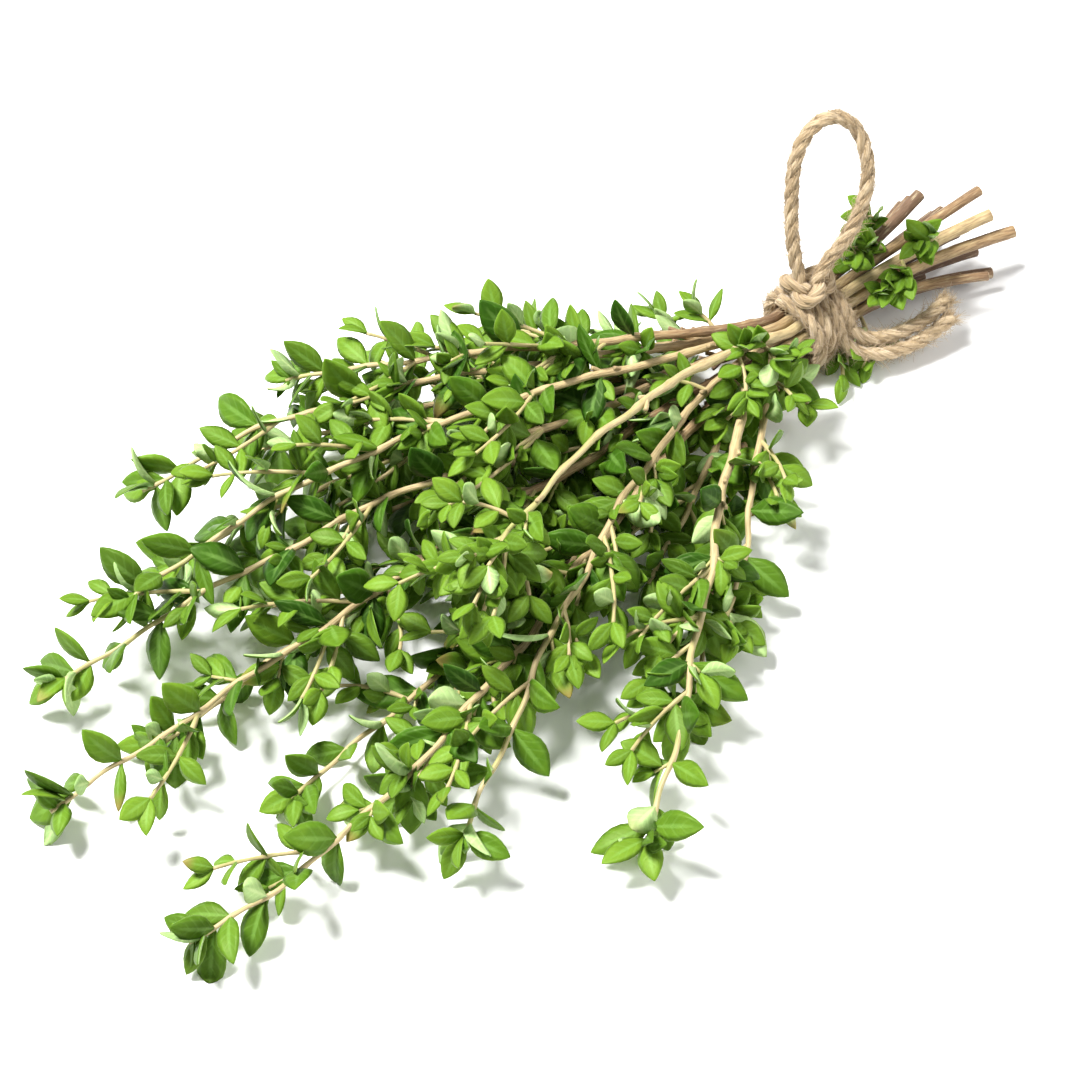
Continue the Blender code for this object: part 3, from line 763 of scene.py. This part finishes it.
# One tube. Its radius swells at each node by a bell curve, and its section is radius *
# (1 + squareness * cos 4a + bumps * sin(3a + run) * sin(run + 2a)): square where it is young, bumpy
# where it is woody. bark is (wood, random, cut face).
def stemTube(path, radius, nodes, wood, cutFace=False):
    run = lengthAlong(path)
    swell = np.exp(-(((run[:, None] - nodes) / stems["nodeLength"]) ** 2)).sum(1)
    radius = radius * (1 + stems["nodeSwell"] * np.minimum(swell, 1))
    angle = np.linspace(0, 2 * np.pi, stems["sides"], endpoint=False)
    square = stems["squareness"] * (1 - wood)[:, None] * np.cos(4 * angle)
    first, second = (run[:, None] / length for length in stems["bumpLengths"])
    bumps = stems["bumps"] * np.sin(3 * angle + first) * np.sin(second + 2 * angle)
    radii = radius[:, None] * (1 + square + bumps * wood[:, None])
    face = np.zeros_like(run)
    if cutFace:
        out, wide = stems["cutEdge"]
        path = np.vstack([path[:1] + (path[0] - path[1]) * out, path])
        run, wood, face = (np.concatenate([row[:1], row]) for row in (run, wood, face))
        face[0] = 1
        radii = np.vstack([radii[:1] * wide, radii])
    rings = ringsRound(path[None], radii[None], stems["sides"], zUp)
    keepAbove(rings, stems["tableGap"])
    shape = rings.shape[:3]
    grain = spread(shape, np.cos(angle), np.sin(angle), (run / mm)[:, None] + dice.uniform(0, 90))
    bark = spread(shape, wood[:, None], dice.uniform(), face[:, None])
    return closedTubes(rings, grain=grain, bark=bark)


# Two leaves on opposite sides at each spot, with the given first side for each spot.
def leafPairs(spots, headings, rolls, angle, lengths, ages):
    number = len(spots)

    def both(row):
        return np.repeat(np.broadcast_to(row, (number,) + np.shape(row)[1:]), 2, 0)

    return {
        "foot": both(spots),
        "along": both(headings),
        "roll": both(rolls) + np.tile([0, np.pi], number),
        "angle": both(np.full(number, angle)),
        "length": both(lengths),
        "age": both(ages),
    }


# The way out of the stem at each roll: level * cos + upward * sin, both square to the stem.
def outwards(along, roll):
    level, upward = squareTo(along, zUp)
    return level * np.cos(roll)[:, None] + upward * np.sin(roll)[:, None]


# Closed leaves on rings u along the leaf and six points round it, one of them under the midrib.
# The blade is as wide as sin(pi b^0.85)^(0.66 + 0.16 b) with b from 0 after the petiole to 1 at the
# tip. Its middle line is an arc that turns from lift to lift - bend, its halves fold up, and its
# margins roll under.
def leafBlades(buds):
    number = len(buds["roll"])
    ringAt = np.array([0.05, 0.16, 0.28, 0.42, 0.57, 0.72, 0.86, 0.95])
    across = np.array([1, 0.55, 0, -0.55, -1, 0])
    side = np.array([0, 1, 1, 1, 0, -1])

    def drawn(name):
        return dice.uniform(*leaves[name], (number, 1, 1))

    length = buds["length"][:, None, None]
    age = buds["age"][:, None, None]
    lift, bend = drawn("lift"), drawn("bend")
    twist = dice.normal(0, leaves["twist"], (number, 1, 1))
    fold, roll = drawn("fold"), drawn("roll")
    widest = length * drawn("widthShare") / 2

    def middle(u):
        forward = (np.sin(lift) - np.sin(lift - bend * u)) / bend
        rise = (np.cos(lift - bend * u) - np.cos(lift)) / bend
        return forward * length, rise * length

    u = ringAt[None, :, None]
    b = np.clip((u - leaves["petiole"]) / (1 - leaves["petiole"]), 0, 1)
    width = widest * np.maximum(np.sin(np.pi * b**0.85) ** (0.66 + 0.16 * b), leaves["petioleWidth"])
    forward, rise = middle(u)
    lean = lift - bend * u
    margin = np.abs(across)
    height = width * (fold * margin - roll * margin**3)
    thick = leaves["thickness"] / 2 * (1.3 - 0.5 * u)
    groove = np.where(across == 0, 1.0, 0.0)   # the midrib: sunk on top, and standing out below
    height = height + side * thick - groove * (side > 0) * 0.5 * thick - groove * (side < 0) * 0.7 * thick
    twisted = twist * u
    sideways = width * across * np.cos(twisted) - height * np.sin(twisted)
    height = width * across * np.sin(twisted) + height * np.cos(twisted)
    x = forward - np.sin(lean) * height
    z = rise + np.cos(lean) * height

    outward = outwards(buds["along"], buds["roll"])
    turn = buds["angle"][:, None]
    axis = unit(buds["along"] * np.cos(turn) + outward * np.sin(turn))
    lowest = (leaves["floorGap"] - buds["foot"][:, 2]) / buds["length"]
    keepAbove(axis, lowest)
    axis = unit(axis)
    face = buds["along"] * leaves["facing"] + zUp + dice.normal(0, leaves["faceVaries"], (number, 3))
    turned = dice.uniform(0, 1, number) < leaves["turnedOver"]
    turned &= buds["foot"][:, 2] > leaves["turnedAbove"]
    face = np.where(turned[:, None], -face, face)
    sideAxis = unit(np.cross(face, axis))
    upAxis = np.cross(axis, sideAxis)

    def placed(*parts):
        spots = buds["foot"][:, None, None]
        for part, direction in zip(parts, (axis, sideAxis, upAxis)):
            spots = spots + part[..., None] * direction[:, None, None]
        return spots

    rings = placed(x, np.broadcast_to(sideways, x.shape), z)
    tipX, tipZ = middle(np.ones((number, 1, 1)))
    nought = np.zeros((number, 1, 1))
    ends = np.concatenate([placed(nought, nought, nought), placed(tipX, nought, tipZ)], 1)[:, :, 0]
    for grid in (rings, ends):   # what would go under the table is pressed flat on it
        below = grid[..., 2] - leaves["floorGap"]
        grid[..., 2] = np.where(below < 0, leaves["floorGap"] + leaves["pressed"] * below, grid[..., 2])
        keepAbove(grid, stems["tableGap"])
    shape = rings.shape[:3]
    chance = dice.uniform(0, 1, (2, number, 1, 1))
    blade, tone = spread(shape, u, across, side), spread(shape, chance[0], age, chance[1])
    return closedTubes(rings, ends, blade=blade, tone=tone)


# The leaves of an axis: a pair at each node, smaller, paler and closer together towards the tip.
def growAxis(path, first, spacing, size, age, tipSize):
    run = lengthAlong(path)[-1]
    number = max(2, round((run - first) / spacing))
    share = 1 - (1 - np.arange(number + 1) / number) ** leaves["crowding"]
    places = first + (run * leaves["lastPair"] - first) * share
    spots, headings = walk(path, places)
    rolls = dice.uniform(0, np.pi) + np.arange(number + 1) * np.pi / 2
    toTip = np.clip((run - places) / (leaves["youngNodes"] * spacing), 0, 1)
    lengths = size * (tipSize + (1 - tipSize) * toTip)
    ages = age * (0.25 + 0.75 * toTip)
    pairs = leafPairs(spots, headings, rolls, leaves["angle"], lengths, ages)
    last = np.repeat(toTip, 2) < leaves["tipWithin"]
    pairs["angle"] = np.where(last, leaves["tipAngle"], pairs["angle"])
    return pairs, places, spots, headings, rolls


# Tufts of small leaves in the axils: a short twig half way between stem and leaf, with two pairs.
# They are rarer towards the tip and on top of the stem, and a sprig has one at least.
def growTufts(spots, headings, rolls, size):
    rolls = np.repeat(rolls, 2) + np.tile([0, np.pi], len(rolls))
    thins = np.clip(np.linspace(leaves["tuftFade"], 0, len(rolls)), 0, 1)
    onTop = np.clip(2 * np.sin(rolls) - 0.6, 0, 0.8)
    keep = dice.uniform(0, 1, len(rolls)) < leaves["tuftShare"] * thins * (1 - onTop)
    keep[0] |= not keep.any()
    spots, headings, rolls = np.repeat(spots, 2, 0)[keep], np.repeat(headings, 2, 0)[keep], rolls[keep]
    heading = headings + outwards(headings, rolls) * leaves["tuftLean"]
    heading = unit(heading + dice.normal(0, leaves["tuftVaries"], spots.shape))
    low = heading[:, 2] < (leaves["floorGap"] * 4 - spots[:, 2]) / leaves["tuftLength"][1]
    heading[low, 2] = np.abs(heading[low, 2]) * 0.5
    heading = unit(heading)
    reach = dice.uniform(*leaves["tuftLength"], len(spots))
    turn = dice.uniform(0, np.pi, len(spots))
    found = []
    ages = np.full(len(spots), leaves["tuftAge"])
    for share, angle, scale in leaves["tuftPairs"]:
        lengths = size * scale * dice.uniform(*leaves["tuftSizes"], len(spots))
        places = spots + heading * (reach * share)[:, None]
        found.append(leafPairs(places, heading, turn + share * np.pi, angle, lengths, ages))
    twigs = spots[:, None] + heading[:, None] * reach[:, None, None] * np.linspace(0, 1, 4)[:, None]
    keepAbove(twigs, leaves["twigLowest"])
    return found, twigs


# A side shoot leaves its stem on the side that roll turns it to, and bends along with the stem.
def shootPath(stem, distance, roll, length, angle):
    spot, along = walk(stem, np.array([distance]))
    heading = unit(along * math.cos(angle) + outwards(along, np.array([roll])) * math.sin(angle))
    knee = spot + heading * length * stems["shootKnee"]
    tip = knee + unit(heading + along * stems["shootBend"]) * length * (1 - stems["shootKnee"])
    path = bezier([spot[0], knee[0], tip[0]], 24)
    keepAbove(path, stems["lowest"])
    return path


def addSprig(number, sprig, stemMaterial, leafMaterial):
    # each sprig has its own draws, so that a change to one leaves the others alone
    global dice
    dice = np.random.default_rng(stems["seed"] + number)
    name = f"sprig_{number:02d}"
    leafy, butt = sprigPaths(sprig)
    leafy = wavered(leafy, dice.uniform(0, 2 * np.pi, 3))
    whole = evenPath(np.vstack([butt[::-1], leafy]), stems["step"])
    length = lengthAlong(whole)
    run = lengthAlong(leafy)[-1]
    past = length[-1] - run
    size = leaves["length"]
    (oldAge, youngAge), (stemTip, shootTip) = leaves["ages"], leaves["tipSizes"]
    pairs, nodes, spots, headings, rolls = growAxis(
        whole, past + sprig["bare"] * run, leaves["nodeSpacing"], size, oldAge, stemTip)
    tufts, twigs = growTufts(spots[:-2], headings[:-2], rolls[:-2], size)
    spots, headings = walk(whole, length[-1] - np.array(leaves["starAt"]))
    rolls = rolls[-1] + np.pi / 2 * np.arange(len(spots))
    sizes = size * np.array(leaves["starSizes"])
    ages = np.full(len(spots), youngAge)
    star = leafPairs(spots, headings, rolls, leaves["starAngle"], sizes, ages)
    buds = [pairs, star, *tufts]
    # shoots are (share of the leafy path, roll, length, angle)
    rise = math.radians(stems["shootRise"])
    shoots = []
    for share, side, reach in sprig["shoots"]:
        shoots.append((share, rise if side < 0 else np.pi - rise, reach * mm, stems["shootAngle"]))
    low, high = sprig["bare"] + 0.04, max(stems["moreUntil"], sprig["bare"] + 0.1)
    for share in dice.uniform(low, high, stems["moreShoots"]):
        roll = dice.choice([0, np.pi]) + dice.normal(0, stems["moreRoll"])
        shoots.append((share, roll, dice.uniform(*stems["moreLength"]), stems["shootAngle"]))
    for distance, degrees, reach in sprig["clumps"]:
        share = (distance * mm - stems["straightHalf"]) / run
        shoots.append((share, math.radians(degrees), reach * mm, stems["clumpAngle"]))
    stemParts = []
    for share, roll, reach, angle in shoots:
        path = shootPath(whole, past + share * run, roll, reach, angle)
        pairs, nodesOn, *_ = growAxis(
            path, stems["shootFoot"], leaves["shootSpacing"], size * leaves["shootSize"],
            youngAge, shootTip)
        buds.append(pairs)
        thin = np.linspace(1, 0.7, len(path)) * stems["shootRadius"]
        stemParts.append(stemTube(path, thin, nodesOn, np.full(len(path), stems["shootWood"])))
    bareRun = max(sprig["bare"] * run, 12 * mm)
    for distance in past + dice.uniform(*stems["snagPlaces"], stems["snags"]) * bareRun:
        roll, reach = dice.uniform(0, np.pi), dice.uniform(*stems["snagLength"])
        path = shootPath(whole, distance, roll, reach, stems["shootAngle"])
        thin = np.full(len(path), stems["shootRadius"])
        stemParts.append(stemTube(path, thin, np.array([]), np.full(len(path), sprig["wood"])))

    # the main stem runs from the cut end through the tie to the tip, and thins by share^0.75
    toTip = np.clip((length - past) / run, 0, 1)
    toCut = np.clip(1 - length / (past - stems["straightHalf"]), 0, 1)
    radius = stems["tieRadius"] + (stems["tipRadius"] - stems["tieRadius"]) * toTip**0.75
    pastTie = np.clip((length - past) / stems["girthOver"], 0, 1)
    radius = radius * (1 + (sprig["girth"] - 1) * (1 - toTip) * pastTie)
    radius = radius + (stems["cutRadius"] * sprig["girth"] - radius) * toCut
    wood = np.clip(sprig["wood"] * (1.1 - 1.0 * toTip) + 0.25 * toCut, 0, 1)
    first, step = stems["bareNodes"]
    swollen = np.concatenate([nodes, past + np.arange(first, sprig["bare"], step) * run])
    stemParts.insert(0, stemTube(whole, radius, swollen, wood, cutFace=True))

    thin = np.broadcast_to(np.linspace(*stems["twigRadii"], 4)[:, None], (len(twigs), 4, 6))
    rings = ringsRound(twigs, thin, 6, unit(np.array([0.2, 0.1, 1.0])))
    bark = np.broadcast_to(np.array([0.05, 0.5, 0.0]), rings.shape)
    stemParts.append(closedTubes(rings, grain=rings / mm, bark=bark))
    newPiece(f"{name}_stem", joined(stemParts), stemMaterial, [name])

    buds = {key: np.concatenate([row[key] for row in buds]) for key in buds[0]}
    count = len(buds["roll"])
    buds["roll"] = buds["roll"] + dice.normal(0, leaves["rollVaries"], count)
    buds["angle"] = buds["angle"] + dice.normal(0, leaves["angleVaries"], count)
    buds["length"] = buds["length"] * dice.uniform(*leaves["sizeVaries"], count)
    newPiece(f"{name}_leaves", leafBlades(buds), leafMaterial, [name])
    return count


leafLook = {
    "tops": [(0.0, (0.015, 0.052, 0.003)), (0.5, (0.043, 0.112, 0.006)), (1.0, (0.115, 0.205, 0.014))],
    "young": (0.145, 0.25, 0.020, 1),
    "vein": (0.20, 0.36, 0.08, 1),
    "under": (0.27, 0.41, 0.15, 1),
    "underVein": (0.50, 0.62, 0.28, 1),
    "gland": (0.02, 0.06, 0.01, 1),
    "dry": (0.23, 0.16, 0.05, 1),
}


def makeLeafMaterial():
    material, tree, shader = newMaterial(
        "thymeLeaf", 0.5, Subsurface_Weight=0.12, Subsurface_Scale=0.0009, Specular_IOR_Level=0.2,
        Specular_Tint=(0.85, 1.0, 0.5, 1))
    shader["Subsurface Radius"].default_value = (0.7, 1.0, 0.3)
    _, u, across, side = attribute(tree, "blade")
    _, chance, age, second = attribute(tree, "tone")
    place = addNode(tree, "TexCoord").outputs["Object"]
    blotch = mottling(tree, 420.0, 1.4)
    level = times(tree, blotch, 0.35, times(tree, chance, 0.9, -0.2))
    top = ramp(tree, level, leafLook["tops"])
    youth = times(tree, maths(tree, "SUBTRACT", 1.0, age), 0.75, clamp=True)
    top = mixed(tree, youth, top, leafLook["young"])

    off = maths(tree, "ABSOLUTE", across)
    rib = stepped(tree, off, 0.05, 0.22, 1.0, 0.0)
    fade = stepped(tree, u, 0.55, 0.95, 1.0, 0.0)
    rib = times(tree, rib, fade)
    slant = times(tree, u, 34.0, times(tree, off, -9.0))
    wave = times(tree, maths(tree, "SINE", slant), 0.5, 0.5)
    veins = times(tree, stepped(tree, wave, 0.72, 1.0), fade)
    veins = times(tree, veins, stepped(tree, off, 0.75, 1.0, 1.0, 0.0))
    top = tinted(tree, top, veins, 0.10, leafLook["vein"])
    top = tinted(tree, top, rib, 0.35, leafLook["vein"])
    margin = stepped(tree, off, 0.86, 1.0)
    top = tinted(tree, top, margin, 0.24, leafLook["vein"])

    under = tinted(tree, leafLook["under"], chance, 0.35, leafLook["underVein"])
    under = tinted(tree, under, rib, 0.8, leafLook["underVein"])
    under = tinted(tree, under, veins, 0.35, leafLook["underVein"])
    isTop = stepped(tree, side, -0.05, 0.05)
    colour = mixed(tree, isTop, under, top)
    glands = addNode(tree, "TexVoronoi", None, {"Vector": place, "Scale": 2600.0})
    dots = stepped(tree, glands.outputs["Distance"], 0.10, 0.28, 1.0, 0.0)
    colour = tinted(tree, colour, dots, 0.22, leafLook["gland"])
    spoiled = times(tree, stepped(tree, second, 0.965, 0.985), stepped(tree, u, 0.55, 0.95))
    colour = tinted(tree, colour, spoiled, 0.85, leafLook["dry"])
    tree.links.new(colour, shader["Base Color"])
    rough = times(tree, isTop, -0.26, 0.70)
    tree.links.new(times(tree, blotch, 0.08, rough), shader["Roughness"])
    height = times(tree, veins, -0.5, times(tree, rib, -0.6))
    height = times(tree, dots, -0.35, height)
    height = times(tree, blotch, 0.8, height)
    tree.links.new(bump(tree, height, 0.45, 0.08 * mm), shader["Normal"])
    return material


stemLook = {
    "wood": [
        (0.0, (0.30, 0.30, 0.085)), (0.18, (0.46, 0.36, 0.18)), (0.45, (0.42, 0.31, 0.15)),
        (0.70, (0.27, 0.165, 0.075)), (1.0, (0.135, 0.075, 0.040)),
    ],
    "dark": (0.10, 0.055, 0.025, 1),
    "pale": (0.68, 0.60, 0.36, 1),
    "cut": ((0.62, 0.50, 0.30, 1), (0.35, 0.25, 0.13, 1)),
}


def makeStemMaterial():
    material, tree, shader = newMaterial("thymeStem", 0.62, Sheen_Weight=0.12, Sheen_Roughness=0.4)
    grain, *_ = attribute(tree, "grain")
    _, wood, _, cut = attribute(tree, "bark")
    fine = streaks(tree, grain, 3.4, 0.45, 2.0)
    broad = streaks(tree, grain, 0.9, 0.10, 2.0)
    blotch = mottling(tree, 230.0, 1.5)
    level = times(tree, blotch, 0.22, maths(tree, "ADD", wood, -0.11))
    level = times(tree, broad, 0.22, maths(tree, "ADD", level, -0.11))
    colour = ramp(tree, level, stemLook["wood"])
    cracks = stepped(tree, fine, 0.25, 0.48, 1.0, 0.0)
    cracks = times(tree, cracks, times(tree, wood, 0.6, 0.12))
    colour = mixed(tree, cracks, colour, stemLook["dark"])
    colour = tinted(tree, colour, stepped(tree, fine, 0.62, 0.9), 0.30, stemLook["pale"])
    section = mixed(tree, fine, *stemLook["cut"])
    colour = mixed(tree, stepped(tree, cut, 0.3, 0.7), colour, section)
    tree.links.new(colour, shader["Base Color"])
    tree.links.new(times(tree, wood, 0.22, 0.50), shader["Roughness"])
    height = times(tree, fine, times(tree, wood, 0.8, 0.25))
    tree.links.new(bump(tree, height, 0.6, 0.16 * mm), shader["Normal"])
    return material


def makeSprigs():
    stemMaterial, leafMaterial = makeStemMaterial(), makeLeafMaterial()
    counts = [addSprig(number, row, stemMaterial, leafMaterial) for number, row in enumerate(sprigs, 1)]
    print(f"sprigs: {len(counts)} stems with {sum(counts)} leaves")


makeSprigs()
